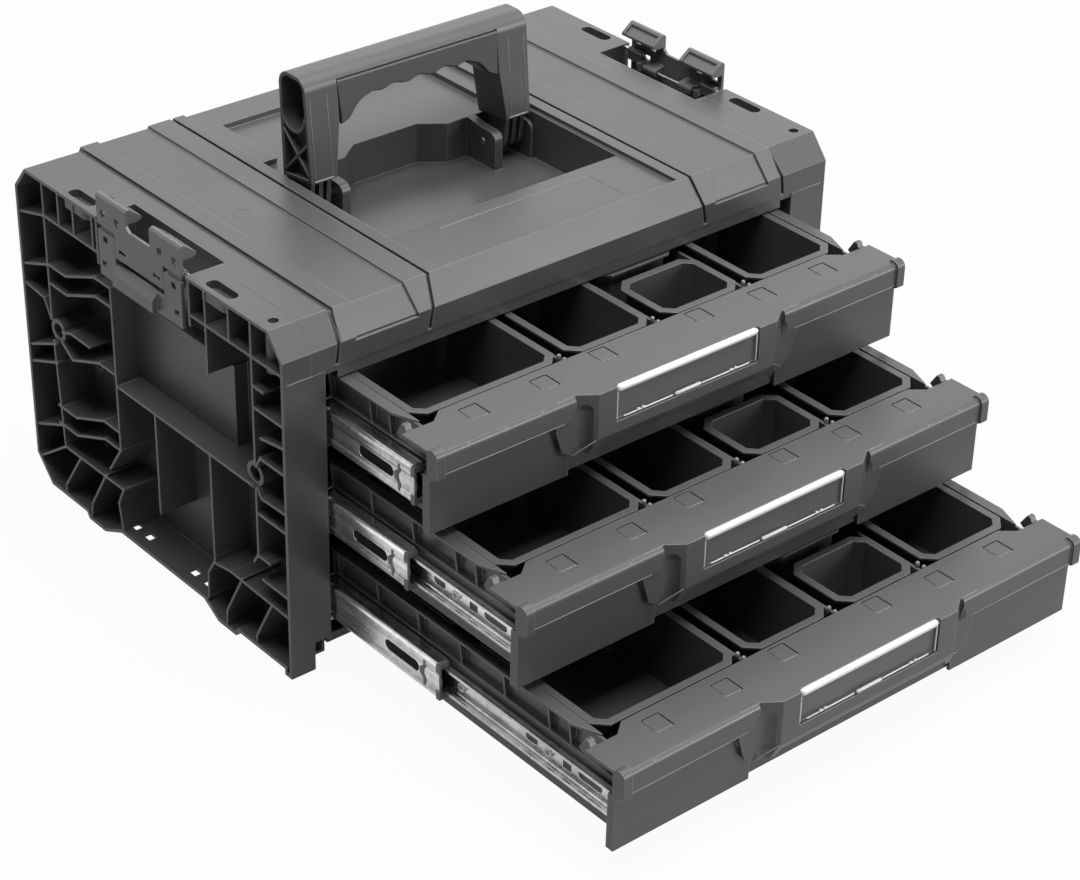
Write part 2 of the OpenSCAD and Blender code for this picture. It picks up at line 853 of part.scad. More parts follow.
module grip_insert() {
    in_place()
        color(dark)
            intersection() {
                translate([0, -0.7, 0])
                    along_x(-leg_in, leg_in)
                        leg_2d(0);
                along_y(-20, 60)
                    difference() {
                        handle_opening_2d(0.05);
                        polygon([
                            [-leg_in, pin_z - 30], [leg_in, pin_z - 30], [leg_in, pin_z + 31],
                            [leg_in - 9, pin_z + 35], [leg_in - 13, pin_z + 46], [leg_in - 23, grip_low],
                            [-leg_in + 23, grip_low], [-leg_in + 13, pin_z + 46],
                            [-leg_in + 9, pin_z + 35], [-leg_in, pin_z + 31]
                        ]);
                        // finger hollows
                        for (x = [-36 : 24 : 36]) {
                            translate([x, grip_low - 10])
                                circle(r = 13);
                        }
                    }
            }
}

// latches, drawn for the left end and mirrored for the right
latch_x = -half_w - 1;
pin_x = -half_w + 4;
latch_pin_z = case_height - 2.3;
rod_x = -half_w + 7;
rod_z = case_height - 8.5;
lever_top = case_height - 6.1;
lever_low = case_height - lever_drop;
hook_top = case_height + hook_rise;
hook_in = 13.5;
module latch_pins() {
    color(steel)
        for (s = [-1, 1]) {
            translate([pin_x, s * 30, latch_pin_z])
                rotate([-s * 90, 0, 0])
                    cylinder(d = latch_pin, h = pocket_half + wall - 30);
        }
}
module latch_rod() {
    color(steel)
        translate([rod_x, -32, rod_z])
            rotate([-90, 0, 0])
                cylinder(d = 2.6, h = 64);
}
module latch_lever() {
    color(plastic)
        difference() {
            union() {
                for (s = [-1, 1]) {
                    y0 = min(s * 27.5, s * latch_half);
                    y1 = max(s * 27.5, s * latch_half);
                    box(latch_x, latch_x + 2.4, y0, y1, lever_low, lever_top);
                    // knuckle on the pin
                    along_y(min(s * 31, s * 45), max(s * 31, s * 45))
                        union() {
                            translate([pin_x, latch_pin_z])
                                circle(r = 2.7);
                            polygon([
                                [latch_x, lever_top - 8], [pin_x + 2.6, lever_top - 2],
                                [pin_x + 2.6, latch_pin_z], [pin_x - 2, latch_pin_z],
                                [latch_x + 1, lever_top]
                            ]);
                        }
                    // cheek that holds the rod
                    box(latch_x, rod_x + 2.6, min(s * 28, s * 31.6), max(s * 28, s * 31.6), rod_z - 3.5,
                        lever_top - 0.2);
                }
                box(latch_x, latch_x + 2.4, -28, 28, lever_low, lever_low + 14);
                // pull lip
                along_y(-19, 26)
                    polygon([
                        [latch_x + 1, lever_low + 14], [latch_x - 4, lever_low + 9],
                        [latch_x - 4, lever_low + 0.6], [latch_x + 1, lever_low + 0.6]
                    ]);
            }
            for (s = [-1, 1]) {
                box(latch_x - 1, latch_x + 3, s * 38.5 - 2.6, s * 38.5 + 2.6, lever_top - 7.6,
                    lever_top - 3.2);
                box(latch_x - 1, latch_x + 3, s * 41 - 2.6, s * 41 + 2.6, lever_low + 7, lever_low + 11);
            }
            translate([pin_x, -latch_half - 1, latch_pin_z])
                rotate([-90, 0, 0])
                    cylinder(r = latch_pin / 2 + turn_gap, h = 2 * latch_half + 2);
            translate([rod_x, -32, rod_z])
                rotate([-90, 0, 0])
                    cylinder(d = 2.6, h = 64);
        }
}
module latch_hook() {
    color(plastic)
        difference() {
            union() {
                along_x(latch_x, latch_x + hook_wall)
                    polygon([
                        [-27, rod_z - 10.8], [27, rod_z - 10.8], [27, latch_pin_z],
                        [latch_half + 0.5, latch_pin_z],
                        [latch_half + 0.5, hook_top - 2], [hook_in, hook_top - 2], [hook_in, hook_top - 11],
                        [hook_in - 3.5, hook_top - 14], [-hook_in, hook_top - 14], [-hook_in, hook_top - 2],
                        [-latch_half - 0.5, hook_top - 2], [-latch_half - 0.5, latch_pin_z],
                        [-27, latch_pin_z]
                    ]);
                for (s = [-1, 1]) {
                    // hook with its sloping back
                    along_y(min(s * hook_in, s * (latch_half + 0.5)), max(s * hook_in,
                        s * (latch_half + 0.5)))
                        polygon([
                            [latch_x, hook_top - 11], [latch_x, hook_top - 1.5], [latch_x + 1.5, hook_top],
                            [latch_x + 3.5, hook_top], [latch_x + 12, hook_top - 6.5],
                            [latch_x + 12, hook_top - 8.5], [latch_x + 9, hook_top - 9.8],
                            [latch_x + 2, hook_top - 9.8]
                        ]);
                    // lug round the rod
                    along_y(min(s * 12, s * 25), max(s * 12, s * 25))
                        union() {
                            translate([rod_x, rod_z])
                                circle(r = 3);
                            polygon([
                                [latch_x, rod_z - 3], [rod_x, rod_z - 3], [rod_x, rod_z + 3],
                                [latch_x, rod_z + 4.5]
                            ]);
                        }
                }
            }
            for (s = [-1, 1]) {
                // hollow in the sloping back
                along_y(min(s * (hook_in + 2.5), s * (latch_half - 2)), max(s * (hook_in + 2.5),
                    s * (latch_half - 2)))
                    polygon([
                        [latch_x + 5, hook_top + 1], [latch_x + 5, hook_top - 3.6],
                        [latch_x + 10.6, hook_top - 7.6], [latch_x + 14, hook_top - 5]
                    ]);
                for (y = [24, 40]) {
                    box(latch_x - 1, latch_x + 3, s * y - 2.6, s * y + 2.6, hook_top - 16, hook_top - 10.2);
                }
                box(latch_x - 1, latch_x + 3, s * 19.4 - 4, s * 19.4 + 4, rod_z - 5.8, rod_z - 3.4);
            }
            translate([rod_x, -30, rod_z])
                rotate([-90, 0, 0])
                    cylinder(r = 1.3 + turn_gap, h = 60);
        }
}
module left_latch_pins() { in_place() latch_pins(); }
module left_latch_rod() { in_place() latch_rod(); }
module left_latch_lever() { in_place() latch_lever(); }
module left_latch_hook() { in_place() latch_hook(); }
module right_latch_pins() { in_place() mirror([1, 0, 0]) latch_pins(); }
module right_latch_rod() { in_place() mirror([1, 0, 0]) latch_rod(); }
module right_latch_lever() { in_place() mirror([1, 0, 0]) latch_lever(); }
module right_latch_hook() { in_place() mirror([1, 0, 0]) latch_hook(); }

// drawers; each part is drawn from the wing's front plane and lower edge
module front_skin_2d() {
    polygon([
        [0, 0], [wall, 0], [wall, wing_height + 1.3], [wall - lip_reach, wing_height + 5.3],
        [wall - lip_reach, front_height - 4.2], [2 + wall - lip_reach, front_height - wall],
        [shelf_depth, front_height - wall], [shelf_depth, front_height],
        [4 - lip_reach, front_height], [-lip_reach, front_height - 4], [-lip_reach, wing_height + 4],
        [0, wing_height]
    ]);
    translate([4 - lip_reach, front_height - 4])
        circle(r = 4);
}
module bay_plan_2d() {
    polygon([
        [-100, 1], [-100, -3.5], [-85.2, -3.5], [-bay_face_half, -bay_reach],
        [bay_face_half, -bay_reach], [85.2, -3.5], [100, -3.5], [100, 1]
    ]);
}
module drawer_front() {
    bay_low = 15;
    bar_y = 2 - bay_reach;
    bar_z = front_height - 2.4;
    color(plastic)
        difference() {
            union() {
                // wings, lip and flat top
                intersection() {
                    along_x(-front_half, front_half)
                        front_skin_2d();
                    difference() {
                        box(-front_half, front_half, -20, 60, -1, 70);
                        box(-wing_in, wing_in, -20, wall + 0.5, -2, front_height + 2);
                    }
                    along_z(-2, 72)
                        polygon([
                            [-front_half, -20], [front_half, -20], [front_half, shelf_depth - 8],
                            [front_half - 23.5, shelf_depth - 8], [front_half - 33.5, shelf_depth],
                            [33.5 - front_half, shelf_depth], [23.5 - front_half, shelf_depth - 8],
                            [-front_half, shelf_depth - 8]
                        ]);
                }
                // label bay between the wings
                intersection() {
                    difference() {
                        along_z(bay_low, front_height)
                            bay_plan_2d();
                        along_z(bay_low - 1, front_height - wall)
                            polygon([
                                [-97.8, 2], [-97.8, -1.3], [-83, -1.3],
                                [3.5 - bay_face_half, wall - bay_reach],
                                [bay_face_half - 3.5, wall - bay_reach], [83, -1.3], [97.8, -1.3], [97.8, 2]
                            ]);
                    }
                    along_y(-20, 5)
                        polygon([
                            [-100, 36], [-94.7, 20], [-87, bay_low], [87, bay_low], [94.7, 20],
                            [100, 36], [100, 70], [-100, 70]
                        ]);
                }
                box(-98, 98, 0, shelf_depth - 1, front_height - wall, front_height);
                box(-label_half - 6, label_half + 6, wall - bay_reach - 0.2, 5.2 - bay_reach,
                    front_height - label_height - 6, front_height - 0.2);
                both_sides() {
                    // end cap of the lip
                    along_x(front_half - 6.4, front_half)
                        union() {
                            translate([2.4 - 5, front_height - 3.1])
                                circle(r = 5);
                            polygon([
                                [-7.6, front_height - 3.1], [-7.6, wing_height + 3],
                                [-2, wing_height + 0.5],
                                [wall, wing_height + 0.5], [2.4, front_height - 3.1]
                            ]);
                        }
                    box(front_half - wall, front_half, 0, 6, 0, wing_height + 1);
                    // tab behind the flat top
                    along_x(front_half - 8.5, front_half - 4)
                        polygon([
                            [shelf_depth - 11, front_height - 2.1], [shelf_depth - 5, 50],
                            [shelf_depth, 50],
                            [shelf_depth + 2.6, 52], [shelf_depth - 2.4, 60], [shelf_depth - 5, 60],
                            [shelf_depth - 6.5, front_height], [shelf_depth - 11, front_height]
                        ]);
                    // upright webs behind the lip
                    for (x = [front_half - 81.5, front_half - 53.5, front_half - 25.5]) {
                        box(x - 0.8, x + 0.8, -lip_reach + 1, wall, wing_height + 3, front_height - 1);
                    }
                }
            }
            // sloping lower edge of the bay
            along_x(-101, 101)
                polygon([
                    [-30, 25.3], [-bay_reach - 0.1, 25.5], [-7.2, bay_low - 0.2], [-7.2, 5], [-30, 5]
                ]);
            // round channels beside the bay
            both_sides() {
                translate([83.8, -bay_reach - 0.2, 5])
                    cylinder(r = 8, h = front_height - 17);
                translate([83.8, -bay_reach - 0.2, front_height - 12])
                    sphere(r = 8);
            }
            // seat of the label window and its bar
            box(-label_half - 1.2, label_half + 1.2, -bay_reach - 1, 3 - bay_reach,
                front_height - label_height - 3.2, front_height + 1);
            translate([-label_half - 1.2, bar_y, bar_z])
                rotate([0, 90, 0])
                    cylinder(d = label_bar + 0.4, h = 2 * label_half + 2.4);
            translate([-label_half - 3.2, bar_y, bar_z])
                rotate([0, 90, 0])
                    cylinder(r = 0.9 + turn_gap, h = 2 * label_half + 6.4);
            // scored squares on the flat top
            for (p = [[front_half - 48.9, 19.4], [90.3, 19.4], [40, 24]]) {
                both_sides()
                    translate([p[0], p[1], front_height - 0.4])
                        linear_extrude(1)
                            difference() {
                                square([13.5, 14.5], center = true);
                                square([12.3, 13.3], center = true);
                            }
            }
        }
}
module label_window() {
    bar_y = 2 - bay_reach;
    bar_z = front_height - 2.4;
    low = front_height - label_height - 2.6;
    color(clear) {
        box(-label_half, label_half, bar_y - label_wall / 2, bar_y + label_wall / 2, low, bar_z);
        box(-11, 11, bar_y - label_wall - 1, bar_y, low, low + 2);
        translate([-label_half, bar_y, bar_z])
            rotate([0, 90, 0])
                cylinder(d = label_bar, h = 2 * label_half);
        translate([-label_half - 3, bar_y, bar_z])
            rotate([0, 90, 0])
                cylinder(r = 0.9, h = 2 * label_half + 6);
    }
}
tray_back = tray_length + wall;
tray_upper = tray_half - 5.7;
flange_z = rim_level - 1.6;
module tray() {
    color(plastic)
        difference() {
            union() {
                box(-tray_half, tray_half, wall, tray_back, tray_rise, tray_floor);
                box(-tray_half, tray_half, wall, wall + tray_wall, tray_rise, front_height - wall);
                box(-tray_half, tray_half, tray_back - tray_wall, tray_back, tray_rise, 52);
                for (x = [-58.7, 19.1, 94.6]) {
                    box(x - 1, x + 1, wall, tray_back - 0.5, tray_rise + 0.5, 52);
                }
                both_sides() {
                    box(tray_half - tray_wall, tray_half, wall, tray_back, tray_rise, ledge_height);
                    box(tray_upper, tray_half, wall, tray_back, ledge_height - tray_wall, ledge_height);
                    box(tray_upper, tray_upper + tray_wall, wall, tray_back, ledge_height - 1, flange_z);
                    along_z(flange_z, rim_level)
                        polygon([
                            [tray_upper, 32], [tray_upper + 0.6, 32], [tray_half + 1.7, 50],
                            [tray_half + 1.7, tray_back], [tray_upper, tray_back]
                        ]);
                    for (y = concat([53], [for (t = [72 : tray_rib_pitch : tray_back - 2]) t])) {
                        tray_rib(y);
                    }
                    for (y = rail_screw_y) {
                        translate([tray_half - 6.8, y, slide_level])
                            rotate([0, 90, 0])
                                cylinder(d = 7, h = 6);
                    }
                }
            }
            both_sides()
                for (y = rail_screw_y) {
                    translate([tray_half - 7.5, y, slide_level])
                        rotate([0, 90, 0])
                            cylinder(d = 3.2, h = 9);
                }
        }
}
module tray_rib(y) {
    along_y(y - 0.8, y + 0.8)
        polygon([
            [tray_upper + 1, ledge_height - 0.5], [tray_upper + 5, ledge_height - 0.5],
            [tray_half + 1.2, flange_z + 0.3], [tray_upper + 1, flange_z + 0.3]
        ]);
}
bin_back = tray_back - 4.6;
bin_edge = tray_upper - 0.6;
module bin(x0, x1, y0, y1) {
    p = cut_box(x0, x1, y0, y1, bin_corner);
    difference() {
        union() {
            along_z(rim_level - 1.6, rim_level)
                polygon(p);
            along_z(tray_floor, rim_level - 0.5)
                polygon(inset(p, rim_width - bin_wall));
        }
        along_z(tray_floor + bin_wall, rim_level + 1)
            polygon(inset(p, rim_width));
    }
}
module bin_pair(x0, x1, front) {
    pitch = (bin_back - front + bin_row_gap) / 2;
    for (y = [front, front + pitch]) {
        bin(x0, x1, y, y + pitch - bin_row_gap);
    }
}
module bins() {
    color(dark) {
        bin_pair(-bin_edge, -62.6, bin_front);
        bin_pair(-54.8, 14.1, bin_front);
        bin(24.1, 90.2, bin_front, bin_front + short_bin);
        bin_pair(24.1, 90.2, bin_front + short_bin + bin_row_gap);
        bin_pair(99, bin_edge - 1, bin_front);
    }
}

// slides; drawn on the left side, u counts from the case's wall
module rolled_2d(depth, v, r) {
    translate([0, r - v])
        square([depth, 2 * (v - r)]);
    translate([r, -v])
        square([depth - r, 2 * v]);
    for (s = [-1, 1]) {
        translate([r, s * (v - r)])
            circle(r = r);
    }
}
module channel_2d(depth, v) {
    difference() {
        rolled_2d(depth, v, roll);
        translate([sheet, 0])
            rolled_2d(depth, v - sheet, roll - sheet);
    }
}
module cabinet_rail() {
    difference() {
        along_y(rail_home, rail_home + slide_length)
            translate([-web_in, 0])
                channel_2d(10, slide_height / 2);
        for (y = cabinet_screw_y) {
            translate([-web_in - 1, y, 0])
                rotate([0, 90, 0])
                    cylinder(d = 3, h = 4);
            translate([-web_in + 0.1, y, 0])
                rotate([0, 90, 0])
                    cylinder(d1 = 3, d2 = 6.6, h = 1.8);
        }
    }
}
module cabinet_rails() {
    in_place()
        color(steel)
            both_sides()
                for (k = [0 : 2]) {
                    translate([0, 0, levels[k] + slide_level])
                        cabinet_rail();
                }
}
module cabinet_rail_screws() {
    in_place()
        color(steel)
            both_sides()
                for (k = [0 : 2]) {
                    for (y = cabinet_screw_y) {
                        translate([-web_in, y, levels[k] + slide_level])
                            rotate([0, 90, 0])
                                difference() {
                                    union() {
                                        translate([0, 0, -8])
                                            cylinder(d = 3, h = 8.2);
                                        intersection() {
                                            translate([0, 0, 0.1])
                                                cylinder(d1 = 3, d2 = 6.6, h = 1.8);
                                            cylinder(d = 8, h = sheet);
                                        }
                                    }
                                    translate([0, 0, 0.4])
                                        cylinder(d = 2, h = 2, $fn = 6);
                                }
                    }
                }
}
// wavy outline of the stop in the middle rail
stop_outline = [
    [12.4, -9.2], [14.6, -9.2], [15, -4.4], [18.4, -2], [18.4, 2], [15, 4.4], [14.6, 9.2],
    [12.4, 9.2], [12.8, 4.6], [14.8, 1.6], [14.8, -1.6], [12.8, -4.6]
];
module middle_rail() {
    difference() {
        along_y(0, slide_length)
            translate([-web_in + middle_at, 0])
                difference() {
                    union() {
                        channel_2d(9, middle_flange);
                        translate([band_sink, -band_half])
                            square([sheet, 2 * band_half]);
                    }
                    translate([-1, -band_half])
                        square([1 + band_sink, 2 * band_half]);
                }
        along_x(-web_in + 1, -web_in + 5) {
            translate([36.5, 0])
                slot_2d(34, 7.6);
            translate([150, 0])
                slot_2d(24, 7.6);
            polygon(inset(stop_outline, -0.2));
        }
        // stepped end
        for (s = [-1, 1]) {
            box(-web_in + 1, -web_in + 12, -1, 2.6, min(s * 6.2, s * 14), max(s * 6.2, s * 14));
        }
    }
}
module middle_rails(k) {
    in_place()
        color(steel)
            both_sides()
                translate([0, rail_home - shares[k] * opened[k], levels[k] + slide_level])
                    middle_rail();
}
module rail_stops(k) {
    in_place()
        color(dark)
            both_sides()
                translate([0, rail_home - shares[k] * opened[k], levels[k] + slide_level]) {
                    along_x(-web_in + 2.1, -web_in + 3.9)
                        polygon(stop_outline);
                    for (s = [-1, 1]) {
                        box(-web_in + 3.2, -web_in + 3.9, 1, 20,
                            min(s * 7.2, s * 10), max(s * 7.2, s * 10));
                        // cap on the stepped end
                        box(-web_in + 2.2, -web_in + 3.9, -0.9, 2.4,
                            min(s * 6.4, s * 13), max(s * 6.4, s * 13));
                        box(-web_in + 3, -web_in + 10, -0.9, 2.4,
                            min(s * 9.7, s * 13), max(s * 9.7, s * 13));
                    }
                    // bumper round the end of the web
                    along_x(-web_in + 2.7, -web_in + 3.9) {
                        translate([-0.9, -7])
                            square([0.8, 14]);
                        intersection() {
                            translate([6, 0])
                                circle(r = 7.8);
                            translate([-4, -8])
                                square([3.9, 16]);
                        }
                    }
                }
}
module ball_cage(level, diameter, web_at, u1, length) {
    x0 = -web_in;
    box(x0 + web_at, x0 + web_at + 0.4, 0, length, -level - 0.3, level + 0.3);
    for (s = [-1, 1]) {
        box(x0 + web_at, x0 + u1, 0, length, s * level - 0.3, s * level + 0.3);
        for (y = [4 : 7 : length - 3]) {
            translate([x0 + ball_depth, y, s * level])
                sphere(d = diameter);
        }
    }
}
module outer_cages(k) {
    home = rail_home + shares[k] / 2 * drawer_travel + 1;
    in_place()
        color(steel)
            both_sides()
                translate([0, home - shares[k] / 2 * opened[k], levels[k] + slide_level])
                    ball_cage((outer_race + middle_flange) / 2, outer_ball, 1.4, 10, outer_cage_length);
}
module inner_cages(k) {
    home = rail_home + (1 - shares[k]) / 2 * drawer_travel + 3;
    in_place()
        color(steel)
            both_sides()
                translate([0, home - (1 + shares[k]) / 2 * opened[k], levels[k] + slide_level])
                    ball_cage((inner_race + drawer_flange) / 2, inner_ball, 4.1, 10.4, inner_cage_length);
}
module drawer_rail() {
    difference() {
        along_y(rail_front, rail_front + drawer_rail_length)
            translate([slide_wide - web_in, 0])
                mirror([1, 0]) {
                    channel_2d(drawer_rail_depth, drawer_flange);
                    for (s = [-1, 1]) {
                        // bead and lip along each flange
                        translate([4, s * (drawer_flange - sheet)])
                            circle(r = 0.7);
                        translate([drawer_rail_depth - sheet, s * drawer_flange - (s + 1)])
                            square([sheet, 2]);
                    }
                }
        along_x(-web_in + 10, -web_in + 14) {
            translate([33, 0])
                slot_2d(21, 6);
            translate([53.5, 0])
                square([7.5, 7.5], center = true);
            translate([85.5, 0])
                slot_2d(11, 6);
        }
        for (y = rail_screw_y) {
            translate([-web_in + 10, y, 0])
                rotate([0, 90, 0])
                    cylinder(d = 3.2, h = 4);
        }
    }
}
module drawer_rails(k) {
    color(steel)
        at_drawer(k)
            both_sides()
                translate([0, 0, slide_level])
                    drawer_rail();
}
module drawer_rail_screws(k) {
    color(steel)
        at_drawer(k)
            both_sides()
                for (y = rail_screw_y) {
                    translate([-tray_half, y, slide_level])
                        rotate([0, 90, 0])
                            difference() {
                                union() {
                                    translate([0, 0, -sheet])
                                        cylinder(d = 3.2, h = sheet + 6);
                                    translate([0, 0, -sheet - 1.8])
                                        cylinder(d = 6.4, h = 1.8);
                                }
                                translate([0, 0, -sheet - 2])
                                    cylinder(d = 3, h = 1.2, $fn = 6);
                            }
                }
}

module top_tray() { at_drawer(0) tray(); }
module top_front() { at_drawer(0) drawer_front(); }
module top_bins() { at_drawer(0) bins(); }
module top_drawer_rails() { drawer_rails(0); }
module top_rail_screws() { drawer_rail_screws(0); }
module top_label_window() { at_drawer(0) label_window(); }
module middle_tray() { at_drawer(1) tray(); }
module middle_front() { at_drawer(1) drawer_front(); }
module middle_bins() { at_drawer(1) bins(); }
module middle_drawer_rails() { drawer_rails(1); }
module middle_rail_screws() { drawer_rail_screws(1); }
module middle_label_window() { at_drawer(1) label_window(); }
module bottom_tray() { at_drawer(2) tray(); }
module bottom_front() { at_drawer(2) drawer_front(); }
module bottom_bins() { at_drawer(2) bins(); }
module bottom_drawer_rails() { drawer_rails(2); }
module bottom_rail_screws() { drawer_rail_screws(2); }
module bottom_label_window() { at_drawer(2) label_window(); }
module top_middle_rails() { middle_rails(0); }
module top_rail_stops() { rail_stops(0); }
module top_outer_cages() { outer_cages(0); }
module top_inner_cages() { inner_cages(0); }
module middle_middle_rails() { middle_rails(1); }
module middle_rail_stops() { rail_stops(1); }
module middle_outer_cages() { outer_cages(1); }
module middle_inner_cages() { inner_cages(1); }
module bottom_middle_rails() { middle_rails(2); }
module bottom_rail_stops() { rail_stops(2); }
module bottom_outer_cages() { outer_cages(2); }
module bottom_inner_cages() { inner_cages(2); }

left_end_frame();
left_end_ribs();
left_end_bosses();
right_end_frame();
right_end_ribs();
right_end_bosses();
top_cover();
back_panel();
base_panel();
cross_rail();
cover_screws();
handle_pins();
handle_frame();
grip_insert();
cabinet_rails();
cabinet_rail_screws();
left_latch_pins();
left_latch_lever();
left_latch_rod();
left_latch_hook();
right_latch_pins();
right_latch_lever();
right_latch_rod();
right_latch_hook();
top_tray();
top_front();
top_bins();
top_drawer_rails();
top_rail_screws();
top_label_window();
middle_tray();
middle_front();
middle_bins();
middle_drawer_rails();
middle_rail_screws();
middle_label_window();
bottom_tray();
bottom_front();
bottom_bins();
bottom_drawer_rails();
bottom_rail_screws();
bottom_label_window();
top_middle_rails();
top_rail_stops();
top_outer_cages();
top_inner_cages();
middle_middle_rails();
middle_rail_stops();
middle_outer_cages();
middle_inner_cages();
bottom_middle_rails();
bottom_rail_stops();
bottom_outer_cages();
bottom_inner_cages();
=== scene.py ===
import math

import bmesh
import bpy
from mathutils import Matrix, Vector


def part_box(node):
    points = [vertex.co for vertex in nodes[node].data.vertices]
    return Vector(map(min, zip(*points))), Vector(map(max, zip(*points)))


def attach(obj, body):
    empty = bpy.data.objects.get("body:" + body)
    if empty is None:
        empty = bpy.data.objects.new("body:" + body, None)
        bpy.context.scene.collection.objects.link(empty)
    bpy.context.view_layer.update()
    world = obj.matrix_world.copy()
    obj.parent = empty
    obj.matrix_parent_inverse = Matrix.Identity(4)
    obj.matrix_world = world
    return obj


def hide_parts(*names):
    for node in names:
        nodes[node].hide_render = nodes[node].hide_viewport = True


# Tool box with three drawers: finishes, small moulded details, studio light and camera.
# Everything is in metres, with +X to the right, +Y to the back and +Z up.

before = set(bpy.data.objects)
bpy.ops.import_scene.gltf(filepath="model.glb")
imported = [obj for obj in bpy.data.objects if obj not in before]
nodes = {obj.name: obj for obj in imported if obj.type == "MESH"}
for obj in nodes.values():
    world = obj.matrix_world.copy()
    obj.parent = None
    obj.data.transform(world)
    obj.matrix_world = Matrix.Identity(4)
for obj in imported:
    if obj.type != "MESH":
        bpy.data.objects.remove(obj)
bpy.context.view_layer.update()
drawers = ("top", "middle", "bottom")
sides = (-1, 1)  # left and right
print("frame loaded:", len(nodes), "pieces")


class Term:
    # a shader socket that takes part in sums, with numbers or terms on either side
    def __init__(self, finish, socket):
        self.finish = finish
        self.socket = socket

    def maths(self, operation, a, b):
        return self.finish.node("Math", {"operation": operation}, {0: a, 1: b})

    def __add__(self, other):
        return self.maths("ADD", self, other)

    def __radd__(self, other):
        return self.maths("ADD", other, self)

    def __sub__(self, other):
        return self.maths("SUBTRACT", self, other)

    def __rsub__(self, other):
        return self.maths("SUBTRACT", other, self)

    def __mul__(self, other):
        return self.maths("MULTIPLY", self, other)

    def __rmul__(self, other):
        return self.maths("MULTIPLY", other, self)


class Tree:
    def __init__(self, tree):
        self.tree = tree

    def node(self, kind, settings=None, inputs=None, output=0):
        made = self.tree.nodes.new("ShaderNode" + kind)
        for key, value in (settings or {}).items():
            setattr(made, key, value)
        for key, value in (inputs or {}).items():
            if isinstance(value, Term):
                self.tree.links.new(value.socket, made.inputs[key])
            else:
                made.inputs[key].default_value = value
        return Term(self, made.outputs[output])

    def ramp(self, value, low, high):
        spread = {0: value, 1: low, 2: high, 3: 0.0, 4: 1.0}
        return self.node("MapRange", {"clamp": True}, spread)

    def between(self, mask, a, b):
        return self.node("Mix", {"data_type": "RGBA"}, {0: mask, 6: a, 7: b}, 2)

    def rays(self):
        # masks of what the camera sees, what gloss sees and what is seen through clear plastic
        kinds = ("Camera", "Glossy", "Transmission")
        return [self.node("LightPath", output=f"Is {kind} Ray") for kind in kinds]


roundedEdge = {"samples": 6, "fade": (0.01, 0.2)}  # the mask fades by the turn of the normal


class Finish(Tree):
    def __init__(self, name, **fixed):
        self.material = bpy.data.materials.new(name)
        self.material.use_nodes = True
        super().__init__(self.material.node_tree)
        self.shader = self.tree.nodes["Principled BSDF"]
        for socket, value in fixed.items():
            self.shader.inputs[socket.replace("_", " ")].default_value = value
        self.place = self.node("TexCoord", output="Object")

    def noise(self, scale, detail, place=None):
        settings = {"Vector": place or self.place, "Scale": scale, "Detail": detail}
        return self.node("TexNoise", inputs=settings)

    def streaks(self, scales, detail):
        # noise with a scale of its own along each axis
        place = self.node("VectorMath", {"operation": "MULTIPLY"}, {0: self.place, 1: scales})
        return self.noise(1, detail, place)

    def edges(self, radius):
        # rounded edges: the soft normal, and a mask that is 1 on an edge
        soft = self.node("Bevel", {"samples": roundedEdge["samples"]}, {"Radius": radius})
        flat = self.node("NewGeometry", output="Normal")
        turn = self.node("VectorMath", {"operation": "DOT_PRODUCT"}, {0: soft, 1: flat}, "Value")
        return soft, self.ramp(1 - turn, *roundedEdge["fade"])

    def feed(self, **terms):
        for socket, term in terms.items():
            self.tree.links.new(term.socket, self.shader.inputs[socket.replace("_", " ")])


def grey(level, warm=0.0):
    return (level * (1 + warm), level, level * (1 - warm), 1)


def swing(noises, shares):
    # noises about their middle, each times its share
    terms = [(noise - 0.5) * share for noise, share in zip(noises, shares)]
    return sum(terms[1:], terms[0])


# Moulded plastics: fine grain, slow cloudiness, rounded edges with a painted highlight in a paler
# colour

mouldedLooks = {  # the grain's depth and the edges' radius are in metres
    "casePlastic": {"tone": 0.07, "edge": 0.28, "rough": 0.35, "grain": 0.00003, "radius": 0.0008},
    "latchPlastic": {"tone": 0.115, "edge": 0.26, "rough": 0.36, "grain": 0.00002, "radius": 0.0006},
    "binPlastic": {"tone": 0.066, "edge": 0.16, "rough": 0.36, "grain": 0.00003, "radius": 0.0007},
    "gripPlastic": {"tone": 0.05, "edge": 0.16, "rough": 0.36, "grain": 0.00003, "radius": 0.0006},
    # pale, for painted highlights: thin lines where light catches edges, and the glints on the pegs
    "edgePlastic": {"tone": 0.2, "edge": 0.3, "rough": 0.32, "grain": 0.00001, "radius": 0.0003},
    # painted shade: near black with little gloss, for dark lines in grooves and the shade behind the
    # rail slots
    "shadePlastic": {
        "tone": 0.006, "edge": 0.008, "rough": 0.6, "grain": 0.00001, "radius": 0.0002, "gloss": 0.08,
    },
    "stopPlastic": {"tone": 0.14, "edge": 0.20, "rough": 0.45, "grain": 0.00001, "radius": 0.0003},
}

mouldedSurface = {
    "cloud": 7,  # scales of the noises, per metre
    "flow": (14, 60, 60),
    "grain": 1600,
    "toneShares": (0.22, 0.12, 0.12),  # of cloud, flow and grain
    "toneReach": 0.16,  # the swing at which the tone is fully dark or pale
    "toneRange": (0.9, 1.1),
    "roughShares": (0.24, 0.1, 0.1),
    "edgePolish": 0.08,
    "bump": 0.6,
    "warm": -0.008,
}


